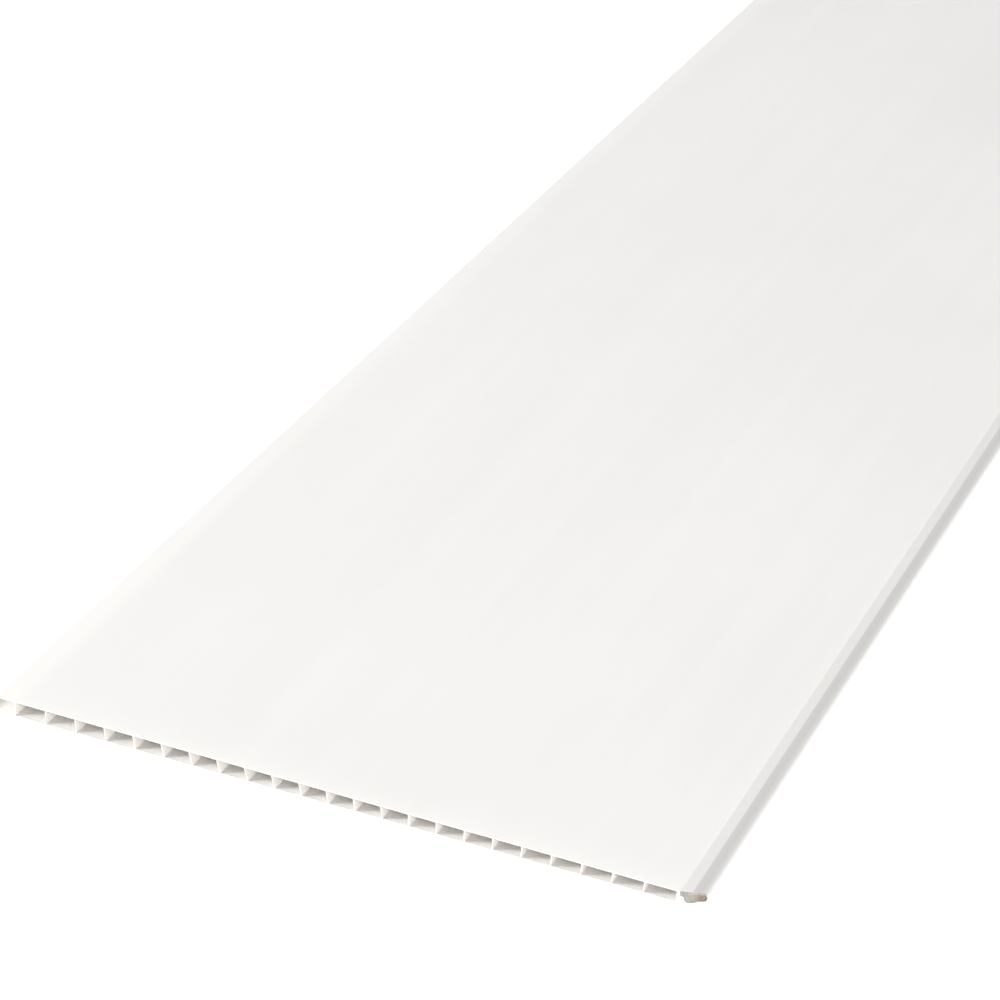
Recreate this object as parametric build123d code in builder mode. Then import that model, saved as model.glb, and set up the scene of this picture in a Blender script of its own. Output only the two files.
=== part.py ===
"""PVC wall panel: one hollow extruded board with a groove along one edge and a tongue along the other.

It lies flat, face up. X runs across the width from the groove edge (-X) to the tongue edge (+X),
Y runs along the length with the snipped end of the tongue at -Y, and Z is up with the back at Z = 0.
Everything is in millimetres. The section is drawn with u measured across from the groove-side
face edge, and with drop measured down from the face.
"""
import os
from math import asin, atan2, cos, exp, hypot, sin

from build123d import *

# Board
cover_width = 375.0  # face edge to face edge once two boards are joined
thickness = 8.0
length = 2700.0

# Walls
face_skin = 0.7
back_skin = 0.6
web = 0.45

# Webs: the cells are widest at the groove edge and narrowest a little past the middle
web_count = 24
cell_flare = 0.66  # how much wider the width law makes a cell one full row away from the narrowest
narrowest_cell = 12.9  # counted from the groove edge
cell_corner = 0.3
lean_most = 2.3  # foot of a web to the tongue side of its head, as the soft section sagged
lean_least = -1.1  # the same far from there, where the webs lean the other way
lean_web = 7.0  # web at which the lean is greatest
lean_spread = 7.5  # in webs

# Joint: the next board's face lip lands on the bevel and leaves a shallow V between the faces
joint_clearance = 0.2  # tongue to each groove lip
end_clearance = 3.4  # tongue tip to the floor of the groove, for the boards to swell
bevel_width = 4.6
bevel_overhang = 1.4  # the face runs out past the last web to the head of the bevel
tongue_reach = 7.3  # foot of the bevel to tongue tip
bead_shoulder = 3.4  # the bead reaches back under the bevel, and leaves a notch beside the last web
catch_gap = 1.2  # side of the bead to the catch that stands in the notch once two boards are joined
catch_width = 1.2  # the catch is the upturned end of the back lip
catch_height = 2.0  # above the inside of the back lip
catch_share = 0.42  # radius along the catch's top, of its width
neck_share = 0.38  # thickness of the neck over the notch, of the tongue's height
bead_wall = 1.0
nose_share = 0.45  # radius at the tip, of the tongue's height
crest_share = 0.6  # tilt at the top of the bead, of a straight slope's from the bevel to the nose
heel_share = 0.82  # radius beside the notch, of the height left below the notch's own round
hollow_share = 0.9  # radius of the hollow beside the notch, of half its height

# Edges
face_edge = 0.5
notch_round = 0.5
foot_round = 0.4

# Sawn -Y end: the cut is square across the face, and the back's edge is turned against it
saw_slant = 0.49  # the back runs out past the face by this at X = 0
saw_twist = 0.009  # and by this much more for each millimetre towards the groove edge
tongue_snip = 6.0  # the tongue's end slants back by this from the bevel's head to the tip

# Places worked out from the sizes above
tongue_top = face_skin + joint_clearance
tongue_foot = thickness - back_skin - joint_clearance
tongue_height = tongue_foot - tongue_top
bevel_foot = cover_width + bevel_width * joint_clearance / tongue_top
bevel_head = bevel_foot - bevel_width
tip = bevel_foot + tongue_reach
groove_depth = tip - cover_width + end_clearance
outer_wall = bevel_head - bevel_overhang
bead_side = bevel_foot - bead_shoulder
neck_foot = tongue_top + neck_share * tongue_height
bead_heel = heel_share * (tongue_foot - neck_foot - notch_round)
back_lip = cover_width - bead_side + catch_gap + catch_width
catch_side = catch_width - back_lip
catch_top = thickness - back_skin - catch_height
centre = (tip - back_lip) / 2
half = centre + back_lip
run_out = saw_slant + saw_twist * half

# The bead's top is one arc from the bevel's foot that runs smoothly into the round nose. Slopes are
# angles below level. The nose meets the arc on the line through both centres, at that slope.
nose = nose_share * tongue_height
nose_u = tip - nose
nose_drop = tongue_foot - nose
run, fall = nose_u - bevel_foot, nose_drop - tongue_top
crest_slope = crest_share * (atan2(fall, run) - asin(nose / hypot(run, fall)))
crest_arc = (run**2 + fall**2 - nose**2) / (2 * (fall * cos(crest_slope) - run * sin(crest_slope) - nose))
meet_slope = asin((run + crest_arc * sin(crest_slope)) / (crest_arc - nose))

# Heads of the webs, by the running total of the cell widths
first_web = groove_depth + web / 2
last_web = outer_wall - web / 2
cells = web_count - 1
shares = [1 + cell_flare * ((j - narrowest_cell) / cells) ** 2 for j in range(cells)]
heads = [first_web + (last_web - first_web) * sum(shares[:i]) / sum(shares) for i in range(web_count)]
bells = [exp(-(((i - lean_web) / lean_spread) ** 2)) for i in range(web_count)]
leans = [lean_least + (lean_most - lean_least) * bell for bell in bells]


def at(u, drop):
    """Section point from the distance across the face and the drop below it."""
    return (u - centre, thickness - drop)


def beside(u, lean, drop):
    """Section point on the side of a leaning web that starts at u under the face."""
    return at(u + lean * (drop - face_skin) / (thickness - back_skin - face_skin), drop)


def bead_round(inset):
    """Top arc and nose of the bead, drawn that far inside its outline. Gives the arc's first point."""
    radius = nose - inset
    crest = at(bevel_foot - inset * sin(crest_slope), tongue_top + inset * cos(crest_slope))
    meet = at(nose_u + radius * sin(meet_slope), nose_drop - radius * cos(meet_slope))
    TangentArc(crest, meet, tangent=(cos(crest_slope), -sin(crest_slope)))
    ThreePointArc(meet, at(tip - inset, nose_drop), at(nose_u, tongue_foot - inset))
    return crest


def corners(sketch, *points):
    """Corners of a drawn sketch that lie on the given points."""
    return [v for v in sketch.vertices() for p in points
            if (Vector(*p) - Vector(v.X, v.Y)).length < 1e-3]


notch_foot = beside(outer_wall, leans[-1], thickness)
notch_head = beside(outer_wall, leans[-1], neck_foot)

with BuildPart() as panel:
    with BuildSketch(Plane.XZ.offset(length / 2)) as section:
        with BuildLine():
            crest = bead_round(0)
            Polyline(
                crest,
                at(bevel_head, 0),
                at(0, 0),
                at(0, face_skin),
                at(groove_depth, face_skin),
                beside(groove_depth, leans[0], thickness - back_skin),
                at(catch_side, thickness - back_skin),
                at(catch_side, catch_top),
                at(-back_lip, catch_top),
                at(-back_lip, thickness),
                notch_foot,
                notch_head,
                at(bead_side, neck_foot),
                at(bead_side, tongue_foot),
                at(nose_u, tongue_foot),
            )
        make_face()
        fillet(corners(section, at(0, 0)), face_edge)
        fillet(corners(section, at(catch_side, catch_top), at(-back_lip, catch_top)),
               catch_share * catch_width)
        fillet(corners(section, at(bead_side, tongue_foot)), bead_heel)
        fillet(corners(section, at(bead_side, neck_foot), notch_head), notch_round)
        fillet(corners(section, notch_foot), foot_round)

        # Hollow of the bead, one wall inside its outline
        with BuildSketch(mode=Mode.SUBTRACT) as bore:
            hollow_side = bead_side + bead_wall - centre
            hollow_foot = thickness - tongue_foot + bead_wall
            with BuildLine():
                crest = bead_round(bead_wall)
                Polyline(crest, (hollow_side, crest[1]), (hollow_side, hollow_foot),
                         at(nose_u, tongue_foot - bead_wall))
            make_face()
            fillet(corners(bore, (hollow_side, crest[1]), (hollow_side, hollow_foot)),
                   hollow_share * (crest[1] - hollow_foot) / 2)

        # Cells between the webs
        with BuildSketch(mode=Mode.SUBTRACT) as hollows:
            for i in range(cells):
                left, right = heads[i] + web / 2, heads[i + 1] - web / 2
                Polygon(
                    at(left, face_skin),
                    at(right, face_skin),
                    beside(right, leans[i + 1], thickness - back_skin),
                    beside(left, leans[i], thickness - back_skin),
                    align=None,
                )
            fillet(hollows.vertices(), cell_corner)
    extrude(amount=-length)

    # Sawn end: everything in front of a face ruled from the back's edge to the face's edge
    outer = -length / 2 - saw_slant
    for height, left, right in ((0, 0, 2 * saw_twist * half), (thickness, run_out, run_out)):
        with BuildSketch(Plane.XY.offset(height)):
            Polygon((-half, outer), (half, outer), (half, right - length / 2), (-half, left - length / 2),
                    align=None)
    loft(ruled=True, mode=Mode.SUBTRACT)

    # Slanting snip across that end of the tongue
    with BuildSketch(Plane.XY):
        with Locations((bevel_head - centre, run_out - length / 2)):
            Polygon((0, 0), (0, -tongue_snip), (tip - bevel_head, -tongue_snip),
                    (tip - bevel_head, tongue_snip), align=None)
    extrude(amount=thickness, mode=Mode.SUBTRACT)

panel.part.label = "panel"
os.makedirs("parts", exist_ok=True)
export_step(panel.part, "parts/panel.step")
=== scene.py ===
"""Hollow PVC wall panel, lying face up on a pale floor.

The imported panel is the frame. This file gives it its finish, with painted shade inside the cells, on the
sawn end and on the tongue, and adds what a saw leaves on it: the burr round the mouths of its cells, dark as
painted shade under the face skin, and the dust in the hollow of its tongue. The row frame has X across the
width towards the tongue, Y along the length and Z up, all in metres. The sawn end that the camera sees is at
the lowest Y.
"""
import math

import bpy
import numpy as np
from bpy.props import FloatProperty, FloatVectorProperty, PointerProperty
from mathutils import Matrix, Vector


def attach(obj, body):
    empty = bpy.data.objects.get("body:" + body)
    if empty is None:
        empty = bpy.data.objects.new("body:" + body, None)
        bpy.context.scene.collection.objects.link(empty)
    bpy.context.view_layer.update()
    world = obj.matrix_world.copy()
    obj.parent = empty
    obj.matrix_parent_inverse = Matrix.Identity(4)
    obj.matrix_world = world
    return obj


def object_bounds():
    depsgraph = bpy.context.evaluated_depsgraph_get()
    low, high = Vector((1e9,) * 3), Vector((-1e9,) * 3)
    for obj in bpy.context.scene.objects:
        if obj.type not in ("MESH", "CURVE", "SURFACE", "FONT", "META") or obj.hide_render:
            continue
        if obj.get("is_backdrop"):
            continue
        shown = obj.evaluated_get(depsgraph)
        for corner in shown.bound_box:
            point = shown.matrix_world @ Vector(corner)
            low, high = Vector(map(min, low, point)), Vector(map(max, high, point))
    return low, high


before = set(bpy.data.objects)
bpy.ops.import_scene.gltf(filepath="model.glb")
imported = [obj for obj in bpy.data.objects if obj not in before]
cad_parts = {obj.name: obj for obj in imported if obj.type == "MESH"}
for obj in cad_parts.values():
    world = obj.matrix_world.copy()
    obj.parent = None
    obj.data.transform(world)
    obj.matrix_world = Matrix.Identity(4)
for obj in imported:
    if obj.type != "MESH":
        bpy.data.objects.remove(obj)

bl_info = {
    "name": "PVC wall panel",
    "version": (1, 0, 0),
    "blender": (4, 5, 0),
    "location": "3D View > Sidebar > Wall panel",
    "description": "Finish, saw burr and shade, packed dust and studio for a hollow PVC wall panel",
    "category": "Object",
}

MM = 0.001
CAD_LOW, CAD_HIGH = (tuple(corner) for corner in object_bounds())
PANEL = "panel"
BODY = "root"
SAWN_END, FAR_END = CAD_LOW[1], CAD_HIGH[1]
BACK_LIP, TIP = CAD_LOW[0], CAD_HIGH[0]
FACE = CAD_HIGH[2]

# The section's places, as the solid has them
FACE_SKIN, BACK_SKIN, WEB = 0.7 * MM, 0.6 * MM, 0.45 * MM
FIRST_WEB = BACK_LIP + 16.5 * MM  # outer side of the first web
LAST_WEB = TIP - 13.3 * MM
BEVEL_HEAD = TIP - 11.9 * MM  # where the face ends and the bevel of the joint starts
SNIP = 6.0 / 11.9  # how far the tongue's end slants back for each step towards its tip
WEBS, CELL_FLARE, NARROWEST_CELL = 24, 0.66, 12.9
LEAN_MOST, LEAN_LEAST, LEAN_WEB, LEAN_SPREAD = 2.3 * MM, -1.1 * MM, 7.0, 7.5
SAW_SLANT, SAW_TWIST = 0.49 * MM, 0.009  # the back runs out past the face, most at the groove edge
FACE_END = SAWN_END + SAW_SLANT - SAW_TWIST * BACK_LIP  # where the face ends, square across

# Ranges over which a look comes or goes
CUT_SKIN = 0.02 * MM, 0.07 * MM  # behind a cut
CELL_MARGIN = 0.2 * MM, 0.4 * MM  # inwards from the face and from the back
# Where the painted shade on the tongue's top comes and goes
TONGUE_START = TIP - 7.6 * MM, TIP - 6.6 * MM  # along X, past the bevel
TONGUE_NOSE = TIP - 4 * MM, TIP - 0.6 * MM
TONGUE_TOP = 2.5 * MM, 4.5 * MM  # in height
# Where the painted shade on the cut across the tongue comes and goes
SHADE_START = LAST_WEB + 0.4 * MM, LAST_WEB + 1.2 * MM
SHADE_NOSE = TIP - 1.8 * MM, TIP - 0.5 * MM
SHADE_TOP = 1.2 * MM, 2.6 * MM  # in height
SHADE_FOOT = TIP - 7 * MM, TIP - 4 * MM  # further in than this, the foot of the cut gets the painted shade too
HOLLOW_START = TIP - 8.5 * MM, TIP - 3.5 * MM
HOLLOW_NOSE = TIP - 0.95 * MM, TIP - 0.9 * MM
HOLLOW_FOOT, HOLLOW_TOP = (1.5 * MM, 1.7 * MM), (4.3 * MM, 4.5 * MM)  # in height
DUST_BROWN = TIP - 7.5 * MM, TIP - 3.0 * MM  # along X, from the pale dust to the brown

# Saw burr
BURR_STEPS = 200  # round one mouth
BURR_ROOT = 0.08 * MM  # how deep the burr's root lies in the wall
BURR_INSET = 0.015 * MM  # how far its front stays behind the cut
BURR_SEED = 7
WAVE_RATES, WAVE_WEIGHTS = [7, 13, 23, 37, 53], [1, 0.9, 0.8, 0.6, 0.5]
WAVE_PEAK = 2.4  # sum of the waves at which a flake is full

# Packed dust
DUST_STEPS, DUST_RINGS = 64, 14
FIRST_RING = 0.08  # share of the outline at which the first ring lies
DUST_MIDDLE = TIP - 5.35 * MM, 3.85 * MM  # X and Z
DUST_REACH = 4.5 * MM, 2.35 * MM  # half sizes in X and Z
DUST_POWER = 2.6
LUMP_LENGTHS = 0.42 * MM, 0.9 * MM, 0.37 * MM, 0.8 * MM  # of the lumps' four waves
LUMP_SWAY = 3
CRUMB_HEIGHT = 0.15 * MM

BLACK = (0, 0, 0, 1)
PVC_IOR = 1.54
FLOOR_REACH = 12.0


class BoardFinish(bpy.types.PropertyGroup):
    """Colours and gloss of the extruded PVC."""

    face_colour: FloatVectorProperty(
        name="Face colour", description="Colour of the PVC", subtype="COLOR", size=3,
        min=0, max=1, default=(0.885, 0.87, 0.85))
    # Raw PVC inside the cells, a little darker than the face as painted shade in the cells
    cell_colour_and_shade: FloatVectorProperty(
        name="Cell colour and shade", description="Colour of the raw PVC inside the cells, a little darkened as painted shade", subtype="COLOR", size=3,
        min=0, max=1, default=(0.812, 0.79, 0.764))
    # Darker than the face as painted shade, against the stronger light that the cut faces catch
    sawn_colour_and_shade: FloatVectorProperty(
        name="Sawn colour and shade", description="Colour of the PVC of the sawn end, darkened as painted shade", subtype="COLOR",
        size=3, min=0, max=1, default=(0.80, 0.79, 0.775))
    # Painted shade on the tongue's top, past the face, lighter towards the nose
    tongue_shade_colour: FloatVectorProperty(
        name="Tongue shade colour", description="Colour of the painted shade on the tongue's top, past the face",
        subtype="COLOR", size=3, min=0, max=1, default=(0.66, 0.645, 0.63))
    # Painted shade on the slanted cut across the tongue
    cut_shade_colour: FloatVectorProperty(
        name="Cut shade colour", description="Colour of the soiled cut across the tongue", subtype="COLOR",
        size=3, min=0, max=1, default=(0.30, 0.287, 0.26))
    # Painted shade under the face skin, carried by the burr
    burr_shade_colour: FloatVectorProperty(
        name="Burr shade colour", description="Colour of the burr, dark as painted shade", subtype="COLOR",
        size=3, min=0, max=1, default=(0.13, 0.122, 0.11))
    grime_colour: FloatVectorProperty(
        name="Grime colour", description="Colour of the dust in the tongue's hollow", subtype="COLOR",
        size=3, min=0, max=1, default=(0.25, 0.195, 0.145))
    face_roughness: FloatProperty(
        name="Face roughness", description="Satin of the show face", min=0, max=1, default=0.38)
    translucency: FloatProperty(
        name="Translucency", description="Share of the light that scatters inside the PVC", min=0, max=1,
        default=0.4)
    scatter_tint: FloatVectorProperty(
        name="Scatter tint", description="How far red, green and blue light scatter, against each other",
        subtype="COLOR", size=3, min=0, max=1, default=(1.0, 0.95, 0.88))
    scatter_reach: FloatProperty(
        name="Scatter reach", description="How far light scatters inside the PVC", unit="LENGTH", min=0,
        default=1.0 * MM)
    line_depth: FloatProperty(
        name="Die line depth", description="Depth of the fine lines that the die draws along the board",
        unit="LENGTH", min=0, default=0.01 * MM)
    tooth_depth: FloatProperty(
        name="Saw mark depth", description="Depth of the marks of the saw's teeth on the cut end",
        unit="LENGTH", min=0, default=0.03 * MM)
    grime_reach: FloatProperty(
        name="Grime reach", description="How far the grime goes into the tongue's hollow",
        unit="LENGTH", min=0, default=14 * MM)


class BurrAndShade(bpy.types.PropertyGroup):
    """Burr that the saw leaves round the mouths of the hollows, dark as painted shade under the face skin."""

    least: FloatProperty(
        name="Least burr", description="Width of the burr under the face, between its flakes", unit="LENGTH",
        min=0, default=0.3 * MM)
    elsewhere: FloatProperty(
        name="Burr elsewhere", description="Share of the burr's width at a mouth's other sides",
        min=0, max=1, default=0.12)
    flake: FloatProperty(
        name="Flake", description="How far a flake hangs into the mouth", unit="LENGTH", min=0,
        default=0.42 * MM)
    film: FloatProperty(
        name="Film", description="Thickness of the burr", unit="LENGTH", min=0, default=0.05 * MM)


class PackedDust(bpy.types.PropertyGroup):
    """Dust and swarf packed in the hollow of the tongue, at its sawn end."""

    recess: FloatProperty(
        name="Recess", description="How far the dust stays behind the cut", unit="LENGTH", min=0,
        default=0.15 * MM)
    lumps: FloatProperty(
        name="Lumps", description="Height of the lumps of dust", unit="LENGTH", min=0, default=0.35 * MM)
    depth: FloatProperty(
        name="Depth", description="How far the dust reaches into the hollow", unit="LENGTH", min=0,
        default=4.0 * MM)
    pale_colour: FloatVectorProperty(
        name="Pale dust colour", description="Colour of the dust away from the tip", subtype="COLOR",
        size=3, min=0, max=1, default=(0.39, 0.365, 0.33))
    crumb_colour: FloatVectorProperty(
        name="Crumb colour", description="Colour of the palest crumbs", subtype="COLOR", size=3,
        min=0, max=1, default=(0.52, 0.50, 0.47))


class StudioSetup(bpy.types.PropertyGroup):
    """Floor, light and camera of the studio."""

    floor_colour: FloatVectorProperty(
        name="Floor colour", description="Colour of the pale floor", subtype="COLOR", size=3,
        min=0, max=1, default=(0.95, 0.95, 0.95))
    floor_glow: FloatProperty(
        name="Floor glow", description="Light that the pale floor gives out by itself", min=0, default=0.5)
    ambient: FloatProperty(
        name="Ambient light", description="Strength of the white surroundings", min=0, default=0.66)
    key_power: FloatProperty(
        name="Key light", description="Power of the soft key light, in watts", min=0, default=300)
    key_place: FloatVectorProperty(
        name="Key place", description="Where the soft key light hangs, from the middle of the sawn end",
        subtype="XYZ", unit="LENGTH", size=3, default=(-4.3, -1.9, 1.55))
    key_size: FloatProperty(
        name="Key size", description="Side of the soft key light", unit="LENGTH", min=0.01, default=1.1)
    fill_power: FloatProperty(
        name="Fill light", description="Power of the broad fill light, in watts", min=0, default=42)
    fill_place: FloatVectorProperty(
        name="Fill place", description="Where the fill light hangs, from the middle of the sawn end",
        subtype="XYZ", unit="LENGTH", size=3, default=(2.6, -1.7, 0.55))
    fill_size: FloatProperty(
        name="Fill size", description="Side of the broad fill light", unit="LENGTH", min=0.01, default=1.2)
    camera_place: FloatVectorProperty(
        name="Camera place", description="Where the camera stands", subtype="XYZ", unit="LENGTH", size=3,
        default=(557.4 * MM, -2342.1 * MM, 842.7 * MM))
    camera_pitch: FloatProperty(
        name="Camera pitch", description="How far the camera looks down", subtype="ANGLE",
        default=math.radians(30.62))
    camera_turn: FloatProperty(
        name="Camera turn", description="How far the camera turns to the left of the length",
        subtype="ANGLE", default=math.radians(25.13))
    lens: FloatProperty(name="Lens", description="Focal length in millimetres", min=1, default=105.44)


class Nodes:
    """Short hand for building one node tree. A value is a number, a tuple or another node's output."""

    def __init__(self, tree):
        self.tree = tree

    def add(self, kind, inputs=None, **values):
        node = self.tree.nodes.new(kind)
        for key, value in values.items():
            setattr(node, key, value)
        for key, value in (inputs or {}).items():
            self.put(value, node.inputs[key])
        return node

    def put(self, value, socket):
        if isinstance(value, bpy.types.NodeSocket):
            self.tree.links.new(value, socket)
        else:
            socket.default_value = value

    def math(self, operation, a, b=0.0, clamp=False):
        return self.add("ShaderNodeMath", {0: a, 1: b}, operation=operation, use_clamp=clamp).outputs[0]

    def ramp(self, value, low, high, start=0.0, end=1.0):
        """Smooth step of a value from low to high."""
        node = self.add("ShaderNodeMapRange", {0: value, 1: low, 2: high, 3: start, 4: end},
                        interpolation_type="SMOOTHSTEP")
        return node.outputs[0]

    def both(self, *masks):
        out = masks[0]
        for mask in masks[1:]:
            out = self.math("MULTIPLY", out, mask)
        return out

    def mix(self, factor, a, b):
        node = self.add("ShaderNodeMix", data_type="RGBA", clamp_factor=True)
        colours = [socket for socket in node.inputs if socket.type == "RGBA"]
        self.put(factor, node.inputs[0])
        self.put(a, colours[0])
        self.put(b, colours[1])
        return next(socket for socket in node.outputs if socket.type == "RGBA")

    def noise(self, place, scale, detail=2.0):
        return self.add("ShaderNodeTexNoise", {"Vector": place, "Scale": scale, "Detail": detail}).outputs[0]

    def stretch(self, place, *scale):
        return self.add("ShaderNodeVectorMath", {0: place, 1: scale}, operation="MULTIPLY").outputs[0]

    def group(self, tree, **inputs):
        node = self.add("ShaderNodeGroup", node_tree=tree)
        for key, value in inputs.items():
            self.put(value, node.inputs[key])
        return node.outputs


def new_group(name, takes, gives):
    """An empty shader node group with named inputs and outputs. Gives the tree, its nodes and its ends."""
    tree = bpy.data.node_groups.get(name)
    if tree:
        bpy.data.node_groups.remove(tree)
    tree = bpy.data.node_groups.new(name, "ShaderNodeTree")
    for key, kind in takes.items():
        tree.interface.new_socket(name=key, in_out="INPUT", socket_type="NodeSocket" + kind)
    for key, kind in gives.items():
        tree.interface.new_socket(name=key, in_out="OUTPUT", socket_type="NodeSocket" + kind)
    nodes = Nodes(tree)
    return tree, nodes, nodes.add("NodeGroupInput").outputs, nodes.add("NodeGroupOutput").inputs


def extruded_grain():
    """What the die leaves along the board: fine lines along Y, and a faint change of tone.

    Lines and bands are noise drawn out along Y. The colour darkens by up to Tone where bands and a broad
    cloud are strong. Height is in line depths, from 0 to 1.
    """
    tree, nodes, takes, gives = new_group(
        "extruded_grain", {"Place": "Vector", "Colour": "Color", "Tone": "Float"},
        {"Colour": "Color", "Height": "Float"})
    place = takes["Place"]
    lines = nodes.noise(nodes.stretch(place, 1.0, 0.004, 1.0), 900.0, 4.0)
    bands = nodes.noise(nodes.stretch(place, 1.0, 0.02, 1.0), 60.0, 2.0)
    cloud = nodes.noise(place, 5.0, 3.0)
    tone = nodes.math("ADD", nodes.math("MULTIPLY", bands, 0.4), nodes.math("MULTIPLY", cloud, 0.6))
    factor = nodes.both(nodes.ramp(tone, 0.35, 0.65), takes["Tone"])
    nodes.put(nodes.mix(factor, takes["Colour"], BLACK), gives["Colour"])
    nodes.put(nodes.math("ADD", nodes.math("MULTIPLY", lines, 0.7), nodes.math("MULTIPLY", bands, 0.3)),
              gives["Height"])
    return tree


def saw_marks():
    """What the saw leaves on a cut: short upright scores, with clouds of finer tearing between them.

    Scores are noise squeezed across X and drawn out along Z. Height is in tooth depths, from 0 to 1.
    """
    tree, nodes, takes, gives = new_group(
        "saw_marks", {"Place": "Vector", "Colour": "Color"}, {"Colour": "Color", "Height": "Float"})
    place = takes["Place"]
    scores = nodes.noise(nodes.stretch(place, 1.0, 1.0, 0.25), 2200.0, 3.0)
    tears = nodes.noise(place, 5200.0, 2.0)
    height = nodes.math("ADD", nodes.math("MULTIPLY", scores, 0.65), nodes.math("MULTIPLY", tears, 0.35))
    dull = nodes.mix(0.16, takes["Colour"], (0.45, 0.43, 0.40, 1))
    nodes.put(nodes.mix(nodes.ramp(height, 0.35, 0.6), dull, takes["Colour"]), gives["Colour"])
    nodes.put(height, gives["Height"])
    return tree


def new_material(name):
    """An empty node material with its output and its Principled shader."""
    material = bpy.data.materials.new(name)
    material.use_nodes = True
    material.node_tree.nodes.clear()
    nodes = Nodes(material.node_tree)
    shader = nodes.add("ShaderNodeBsdfPrincipled")
    output = nodes.add("ShaderNodeOutputMaterial")
    nodes.put(shader.outputs["BSDF"], output.inputs["Surface"])
    return material, nodes, shader


def end_distance(nodes, x, y, z):
    """Distance along Y to the sawn end, and to the nearer end.

    The sawn end's place is the face's end, less (slant - twist * x) times the share of the thickness
    below the face. Across the tongue it is the snip's, which slants back from the face's end.
    """
    depth = nodes.math("DIVIDE", nodes.math("SUBTRACT", FACE, z), FACE)
    out = nodes.math("SUBTRACT", SAW_SLANT, nodes.math("MULTIPLY", x, SAW_TWIST))
    saw = nodes.math("MULTIPLY", nodes.math("MULTIPLY", out, depth), -1.0)
    snip = nodes.math("MULTIPLY", nodes.math("SUBTRACT", x, BEVEL_HEAD), SNIP)
    near = nodes.math("SUBTRACT", nodes.math("SUBTRACT", y, FACE_END), nodes.math("MAXIMUM", saw, snip))
    return near, nodes.math("MINIMUM", near, nodes.math("SUBTRACT", FAR_END, y))


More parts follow.
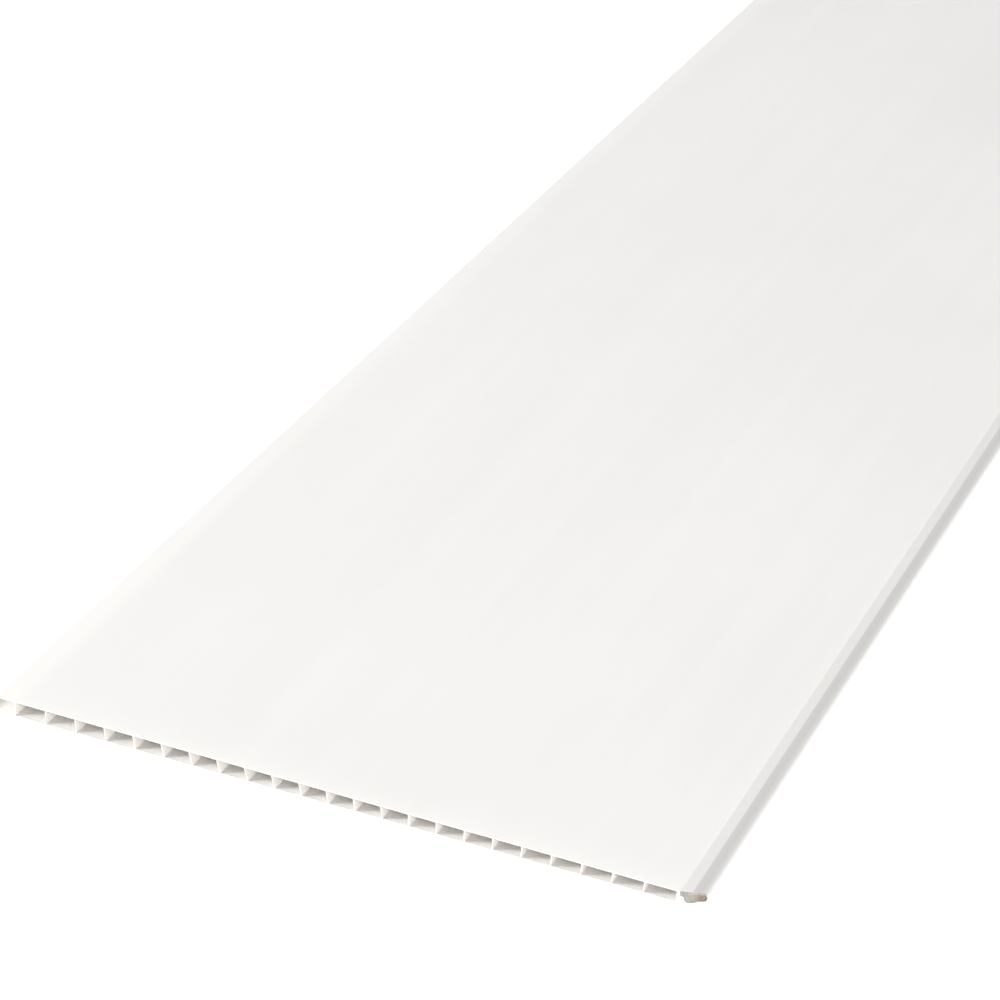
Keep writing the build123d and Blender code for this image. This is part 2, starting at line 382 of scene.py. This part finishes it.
def board_material(finish, burr=False):
    """Satin white PVC: the smooth outside, the raw inside of the cells, the sawn ends and the grime, with
    painted shade inside the cells, on the sawn ends, and on the tongue's top and its cut.

    Each part of the look has a mask, a product of smooth steps along X and Z and of the distance to the
    cut. The burr has the saw's marks all over instead, with a dark colour between them that is painted shade
    under the face skin.
    """
    material, nodes, shader = new_material("burr_shade_pvc" if burr else "white_pvc")
    place = nodes.add("ShaderNodeTexCoord").outputs["Object"]
    marks = nodes.group(bpy.data.node_groups["saw_marks"], Place=place, Colour=(*finish.sawn_colour_and_shade, 1))
    if burr:
        # The burr's dark colour, between the saw's marks, is painted shade under the face skin
        marks_show = nodes.ramp(marks["Height"], 0.55, 0.75)
        colour = nodes.mix(marks_show, (*finish.burr_shade_colour, 1), marks["Colour"])
        roughness = nodes.ramp(marks["Height"], 0.3, 0.7, 0.7, 0.5)
        height = nodes.math("MULTIPLY", marks["Height"], finish.tooth_depth)
    else:
        axes = nodes.add("ShaderNodeSeparateXYZ", {0: place}).outputs
        x, y, z = axes[0], axes[1], axes[2]
        near, end = end_distance(nodes, x, y, z)
        grain = nodes.group(bpy.data.node_groups["extruded_grain"], Place=place,
                            Colour=(*finish.face_colour, 1), Tone=0.03)
        # The cut faces take the sawn colour, darker than the face as painted shade
        sawn = nodes.ramp(end, *CUT_SKIN, 1.0, 0.0)
        # Inside the cells: raw PVC, rougher than the face, and a little darker as painted shade
        inner = nodes.both(
            nodes.ramp(x, LAST_WEB - 0.1 * MM, LAST_WEB, 1.0, 0.0), nodes.ramp(z, *CELL_MARGIN),
            nodes.ramp(z, FACE - CELL_MARGIN[1], FACE - CELL_MARGIN[0], 1.0, 0.0))
        # Painted shade on the tongue's top, past the bevel: it thins out towards the nose and is gone low
        # down
        tongue = nodes.both(
            nodes.ramp(x, *TONGUE_START), nodes.ramp(x, *TONGUE_NOSE, 1.0, 0.2), nodes.ramp(z, *TONGUE_TOP))
        # Painted shade on the slanted cut across the tongue, broken up a little by blots: it thins out at the
        # nose, and low down it stays only further in from the tip
        off_foot = nodes.math("MAXIMUM", nodes.ramp(z, *SHADE_TOP), nodes.ramp(x, *SHADE_FOOT, 1.0, 0.0))
        shaded = nodes.both(nodes.ramp(x, *SHADE_START), nodes.ramp(x, *SHADE_NOSE, 1.0, 0.2), off_foot)
        hollow = nodes.both(
            nodes.ramp(x, *HOLLOW_START), nodes.ramp(x, *HOLLOW_NOSE, 1.0, 0.0),
            nodes.ramp(z, *HOLLOW_FOOT), nodes.ramp(z, *HOLLOW_TOP, 1.0, 0.0),
            nodes.ramp(near, 0.0, finish.grime_reach, 1.0, 0.0))
        blots = nodes.ramp(nodes.noise(place, 420.0, 3.0), 0.3, 0.6, 0.35, 1.0)
        colour = nodes.mix(tongue, grain["Colour"], (*finish.tongue_shade_colour, 1))
        colour = nodes.mix(inner, colour, (*finish.cell_colour_and_shade, 1))
        colour = nodes.mix(nodes.both(hollow, blots), colour, (*finish.grime_colour, 1))
        cut = nodes.mix(nodes.both(shaded, nodes.ramp(blots, 0.3, 0.9, 0.7, 1.0)), marks["Colour"],
                        (*finish.cut_shade_colour, 1))
        colour = nodes.mix(sawn, colour, cut)
        smooth = nodes.ramp(
            grain["Height"], 0.3, 0.7, finish.face_roughness - 0.03, finish.face_roughness + 0.03)
        roughness = nodes.math("ADD", smooth, nodes.math("MULTIPLY", nodes.math("MAXIMUM", inner, sawn), 0.2))
        lines = nodes.math("MULTIPLY", grain["Height"], finish.line_depth)
        teeth = nodes.both(marks["Height"], sawn, finish.tooth_depth)
        height = nodes.math("ADD", lines, teeth)
    nodes.put(colour, shader.inputs["Base Color"])
    nodes.put(roughness, shader.inputs["Roughness"])
    bump = nodes.add("ShaderNodeBump", {"Height": height, "Distance": 1.0, "Strength": 1.0})
    nodes.put(bump.outputs["Normal"], shader.inputs["Normal"])
    shader.inputs["IOR"].default_value = PVC_IOR
    shader.inputs["Subsurface Weight"].default_value = finish.translucency
    shader.inputs["Subsurface Radius"].default_value = finish.scatter_tint
    shader.inputs["Subsurface Scale"].default_value = finish.scatter_reach
    return material


class PANEL_OT_finish_board(bpy.types.Operator):
    """Give the extruded board its PVC material"""

    bl_idname = "wall_panel.finish_board"
    bl_label = "Finish the board"

    def execute(self, context):
        extruded_grain()
        saw_marks()
        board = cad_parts[PANEL]
        board.data.materials.clear()
        board.data.materials.append(board_material(context.scene.board_finish))
        return {"FINISHED"}


def cell_mouths():
    """Corners of the cells' mouths as an array of (cell, corner, x or z), clockwise from top left.

    The width of cell j goes as 1 + flare * ((j - narrowest) / cells) squared, and the foot of web i stands
    to the side of its head by a least lean plus a bell curve of i.
    """
    cells = WEBS - 1
    index = np.arange(cells)
    shares = 1 + CELL_FLARE * ((index - NARROWEST_CELL) / cells) ** 2
    head_low, head_high = FIRST_WEB + WEB / 2, LAST_WEB - WEB / 2
    heads = head_low + (head_high - head_low) * np.concatenate(([0], np.cumsum(shares))) / shares.sum()
    bell = np.exp(-(((np.arange(WEBS) - LEAN_WEB) / LEAN_SPREAD) ** 2))
    lean = LEAN_LEAST + (LEAN_MOST - LEAN_LEAST) * bell
    left, right = heads[:-1] + WEB / 2, heads[1:] - WEB / 2
    top, foot = np.full(cells, FACE - FACE_SKIN), np.full(cells, BACK_SKIN)
    return np.stack([
        np.stack([left, top], 1), np.stack([right, top], 1),
        np.stack([right + lean[1:], foot], 1), np.stack([left + lean[:-1], foot], 1)], 1)


def burr_strips(burr):
    """Burr round the mouths as (vertices, faces): a thin strip carried round each mouth's outline. Its
    material is dark, so where it is widest, under the face, it is painted shade as well as burr.

    Round a mouth the path runs along its four sides. The strip's root lies just inside the wall and its
    edge hangs into the mouth by the least burr plus a flake times the square of a wave, where the wave is
    a sum of sines round the mouth, with phases of its own for each mouth. It hangs in full under the face
    and by a share of that at the other sides, and its front keeps just behind the cut.
    """
    mouths = cell_mouths()
    count, around = len(mouths), BURR_STEPS
    rng = np.random.default_rng(BURR_SEED)
    turn = np.arange(around) / around * 4
    side, share = turn.astype(int), turn % 1
    start, stop = mouths[:, side], mouths[:, (side + 1) % 4]
    path = start + (stop - start) * share[None, :, None]
    middle = mouths.mean(1)[:, None, :]
    size = np.abs(mouths - middle).max(1)[:, None, :]
    inward = (middle - path) / size
    angle = np.linspace(0, 2 * np.pi, around, endpoint=False)[None, :]
    phase = rng.uniform(0, 2 * np.pi, (count, len(WAVE_RATES), 1))
    rate, weight = (np.array(values)[None, :, None] for values in (WAVE_RATES, WAVE_WEIGHTS))
    wave = (np.sin(angle[:, None] * rate + phase) * weight).sum(1)
    wave = np.clip(wave / WAVE_PEAK, 0, 1) ** 2
    hang = np.where(side == 0, 1.0, burr.elsewhere)[None, :]
    width = ((burr.least + burr.flake * wave) * hang)[:, :, None]
    root, edge = path - inward * BURR_ROOT, path + inward * width
    curl = 0.5 * width[:, :, 0]

    def ring(points, inside):
        x, z = points[:, :, 0], points[:, :, 1]
        cut = FACE_END - (SAW_SLANT - SAW_TWIST * x) * (1 - z / FACE)
        return np.stack([x, cut + BURR_INSET + inside, z], 2)

    rings = np.stack([
        ring(root, 0), ring(edge, curl), ring(edge, curl + burr.film), ring(root, burr.film)], 2)
    vertices = rings.reshape(-1, 3)
    cell, step, corner = np.meshgrid(np.arange(count), np.arange(around), np.arange(4), indexing="ij")

    def number(step, corner):
        return (cell * around + step % around) * 4 + corner % 4

    faces = np.stack([number(step, corner), number(step, corner + 1), number(step + 1, corner + 1),
                      number(step + 1, corner)], -1).reshape(-1, 4)
    return vertices, faces.tolist()


def new_piece(name, vertices, faces, material):
    """A mesh object at the origin that rides on the board."""
    mesh = bpy.data.meshes.new(name)
    mesh.from_pydata(vertices.tolist(), [], faces)
    mesh.validate()
    mesh.materials.append(material)
    piece = bpy.data.objects.new(name, mesh)
    bpy.context.scene.collection.objects.link(piece)
    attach(piece, BODY)
    return piece


class PANEL_OT_burr_and_shade(bpy.types.Operator):
    """Hang the saw's burr round the mouths of the cells, dark as painted shade under the face skin"""

    bl_idname = "wall_panel.saw_burr"
    bl_label = "Saw burr and shade"

    def execute(self, context):
        vertices, faces = burr_strips(context.scene.saw_burr)
        new_piece("saw_burr", vertices, faces, board_material(context.scene.board_finish, burr=True))
        return {"FINISHED"}


def dust_plug(dust):
    """Packed dust as (vertices, faces): a closed lens that fills the tongue's hollow behind the cut.

    A point is the middle of the hollow plus a share of the superellipse that lies in the hollow's wall.
    The front follows the snip's slope and the back lies one depth behind it. Both carry lumps, a product
    of sines of x and z, and the rings run from the front's middle over the rim to the back's middle.
    """
    around, shares = DUST_STEPS, np.linspace(FIRST_RING, 1.0, DUST_RINGS)
    middle, reach = np.array(DUST_MIDDLE), np.array(DUST_REACH)
    angle = np.linspace(0, 2 * np.pi, around, endpoint=False)
    wave = np.stack([np.cos(angle), np.sin(angle)], 1)
    outline = np.sign(wave) * np.abs(wave) ** (2 / DUST_POWER) * reach
    across, sway, upright, slant = LUMP_LENGTHS

    def surface(share, inside):
        x, z = (middle + outline * np.reshape(share, (-1, 1, 1))).transpose(2, 0, 1)
        lumps = np.sin(x / across + LUMP_SWAY * np.sin(z / sway)) * np.sin(z / upright + x / slant)
        y = FACE_END + (x - BEVEL_HEAD) * SNIP + dust.recess + dust.lumps * (0.5 + 0.5 * lumps) + inside
        return np.stack([x, y, z], 2)

    front, back = surface(shares, 0.0), surface(shares[::-1], dust.depth)
    rings = np.concatenate([front, back])
    ends = np.concatenate([surface([0.0], 0.0)[:, 0], surface([0.0], dust.depth)[:, 0]])
    vertices = np.concatenate([rings.reshape(-1, 3), ends])
    ring, step = np.meshgrid(np.arange(len(rings) - 1), np.arange(around), indexing="ij")
    after = (step + 1) % around
    quads = np.stack([ring * around + step, (ring + 1) * around + step, (ring + 1) * around + after,
                      ring * around + after], -1).reshape(-1, 4)
    last, turn = (len(rings) - 1) * around, np.arange(around)
    after = (turn + 1) % around
    first = np.stack([np.full(around, len(vertices) - 2), turn, after], 1)
    final = np.stack([last + turn, np.full(around, len(vertices) - 1), last + after], 1)
    return vertices, quads.tolist() + first.tolist() + final.tolist()


def dust_material(finish, dust):
    """Packed dust: brown towards the tip and paler inwards, in crumbs."""
    material, nodes, shader = new_material("packed_dust")
    place = nodes.add("ShaderNodeTexCoord").outputs["Object"]
    x = nodes.add("ShaderNodeSeparateXYZ", {0: place}).outputs[0]
    crumbs = nodes.noise(place, 1600.0, 4.0)
    blots = nodes.noise(place, 500.0, 2.0)
    brown = nodes.both(nodes.ramp(x, *DUST_BROWN, 0.1, 1.0), nodes.ramp(blots, 0.3, 0.6, 0.6, 1.0))
    colour = nodes.mix(brown, (*dust.pale_colour, 1), (*finish.grime_colour, 1))
    pale = nodes.ramp(crumbs, 0.55, 0.75, 0.0, 0.4)
    colour = nodes.mix(pale, colour, (*dust.crumb_colour, 1))
    nodes.put(colour, shader.inputs["Base Color"])
    nodes.put(nodes.ramp(crumbs, 0.3, 0.7, 0.95, 0.8), shader.inputs["Roughness"])
    height = nodes.math("MULTIPLY", crumbs, CRUMB_HEIGHT)
    bump = nodes.add("ShaderNodeBump", {"Height": height, "Distance": 1.0, "Strength": 1.0})
    nodes.put(bump.outputs["Normal"], shader.inputs["Normal"])
    return material


class PANEL_OT_packed_dust(bpy.types.Operator):
    """Pack dust into the sawn end of the tongue's hollow"""

    bl_idname = "wall_panel.packed_dust"
    bl_label = "Packed dust"

    def execute(self, context):
        dust = context.scene.packed_dust
        vertices, faces = dust_plug(dust)
        new_piece("packed_dust", vertices, faces, dust_material(context.scene.board_finish, dust))
        return {"FINISHED"}


def plain_material(name, colour, roughness, glow):
    """The stage's even material, which gives out some white light of its own."""
    material, _, shader = new_material(name)
    shader.inputs["Base Color"].default_value = (*colour, 1)
    shader.inputs["Roughness"].default_value = roughness
    shader.inputs["Emission Color"].default_value = (1, 1, 1, 1)
    shader.inputs["Emission Strength"].default_value = glow
    return material


def soft_light(name, power, size, place):
    """A square soft light that faces the middle of the sawn end from the given place."""
    lamp = bpy.data.lights.new(name, "AREA")
    lamp.energy = power
    lamp.shape = "SQUARE"
    lamp.size = size
    light = bpy.data.objects.new(name, lamp)
    light.location = Vector((0, SAWN_END, 0)) + Vector(place)
    light.rotation_euler = (-Vector(place)).to_track_quat("-Z", "Y").to_euler()
    bpy.context.scene.collection.objects.link(light)


class PANEL_OT_studio(bpy.types.Operator):
    """Lay the pale floor, set the soft light and the camera"""

    bl_idname = "wall_panel.studio"
    bl_label = "Studio"

    def execute(self, context):
        studio = context.scene.studio_setup
        reach = FLOOR_REACH
        mesh = bpy.data.meshes.new("floor")
        mesh.from_pydata(
            [(-reach, -reach, 0), (reach, -reach, 0), (reach, reach, 0), (-reach, reach, 0)], [],
            [(0, 1, 2, 3)])
        floor = bpy.data.objects.new("floor", mesh)
        mesh.materials.append(plain_material("pale_floor", studio.floor_colour, 0.8, studio.floor_glow))
        context.scene.collection.objects.link(floor)
        floor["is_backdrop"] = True

        world = bpy.data.worlds.new("white_room")
        world.use_nodes = True
        background = world.node_tree.nodes["Background"]
        background.inputs["Color"].default_value = (1, 1, 1, 1)
        background.inputs["Strength"].default_value = studio.ambient
        context.scene.world = world

        soft_light("key", studio.key_power, studio.key_size, studio.key_place)
        soft_light("fill", studio.fill_power, studio.fill_size, studio.fill_place)

        lens = bpy.data.cameras.new("camera")
        lens.sensor_width = 36
        lens.lens = studio.lens
        lens.clip_start = 0.01
        lens.clip_end = 100
        camera = bpy.data.objects.new("camera", lens)
        camera.location = studio.camera_place
        camera.rotation_euler = (math.pi / 2 - studio.camera_pitch, 0, studio.camera_turn)
        context.scene.collection.objects.link(camera)
        context.scene.camera = camera
        context.scene.view_settings.view_transform = "Standard"
        return {"FINISHED"}


class VIEW3D_PT_wall_panel(bpy.types.Panel):
    """Sizes, colours and steps of the wall panel"""

    bl_label = "Wall panel"
    bl_idname = "VIEW3D_PT_wall_panel"
    bl_space_type = "VIEW_3D"
    bl_region_type = "UI"
    bl_category = "Wall panel"

    def draw(self, context):
        layout = self.layout
        for key in GROUPS:
            group = getattr(context.scene, key)
            box = layout.box()
            for name in group.bl_rna.properties.keys():
                if name not in ("rna_type", "name"):
                    box.prop(group, name)
        for operator in OPERATORS:
            layout.operator(operator.bl_idname)


GROUPS = {"board_finish": BoardFinish, "saw_burr": BurrAndShade, "packed_dust": PackedDust,
          "studio_setup": StudioSetup}
OPERATORS = (PANEL_OT_finish_board, PANEL_OT_burr_and_shade, PANEL_OT_packed_dust, PANEL_OT_studio)
CLASSES = (*GROUPS.values(), *OPERATORS, VIEW3D_PT_wall_panel)


def register():
    for cls in CLASSES:
        bpy.utils.register_class(cls)
    for name, group in GROUPS.items():
        setattr(bpy.types.Scene, name, PointerProperty(type=group))


def unregister():
    for name in GROUPS:
        delattr(bpy.types.Scene, name)
    for cls in reversed(CLASSES):
        bpy.utils.unregister_class(cls)


def main():
    register()
    bpy.ops.wall_panel.finish_board()
    bpy.ops.wall_panel.saw_burr()
    bpy.ops.wall_panel.packed_dust()
    bpy.ops.wall_panel.studio()


if __name__ == "__main__":
    main()
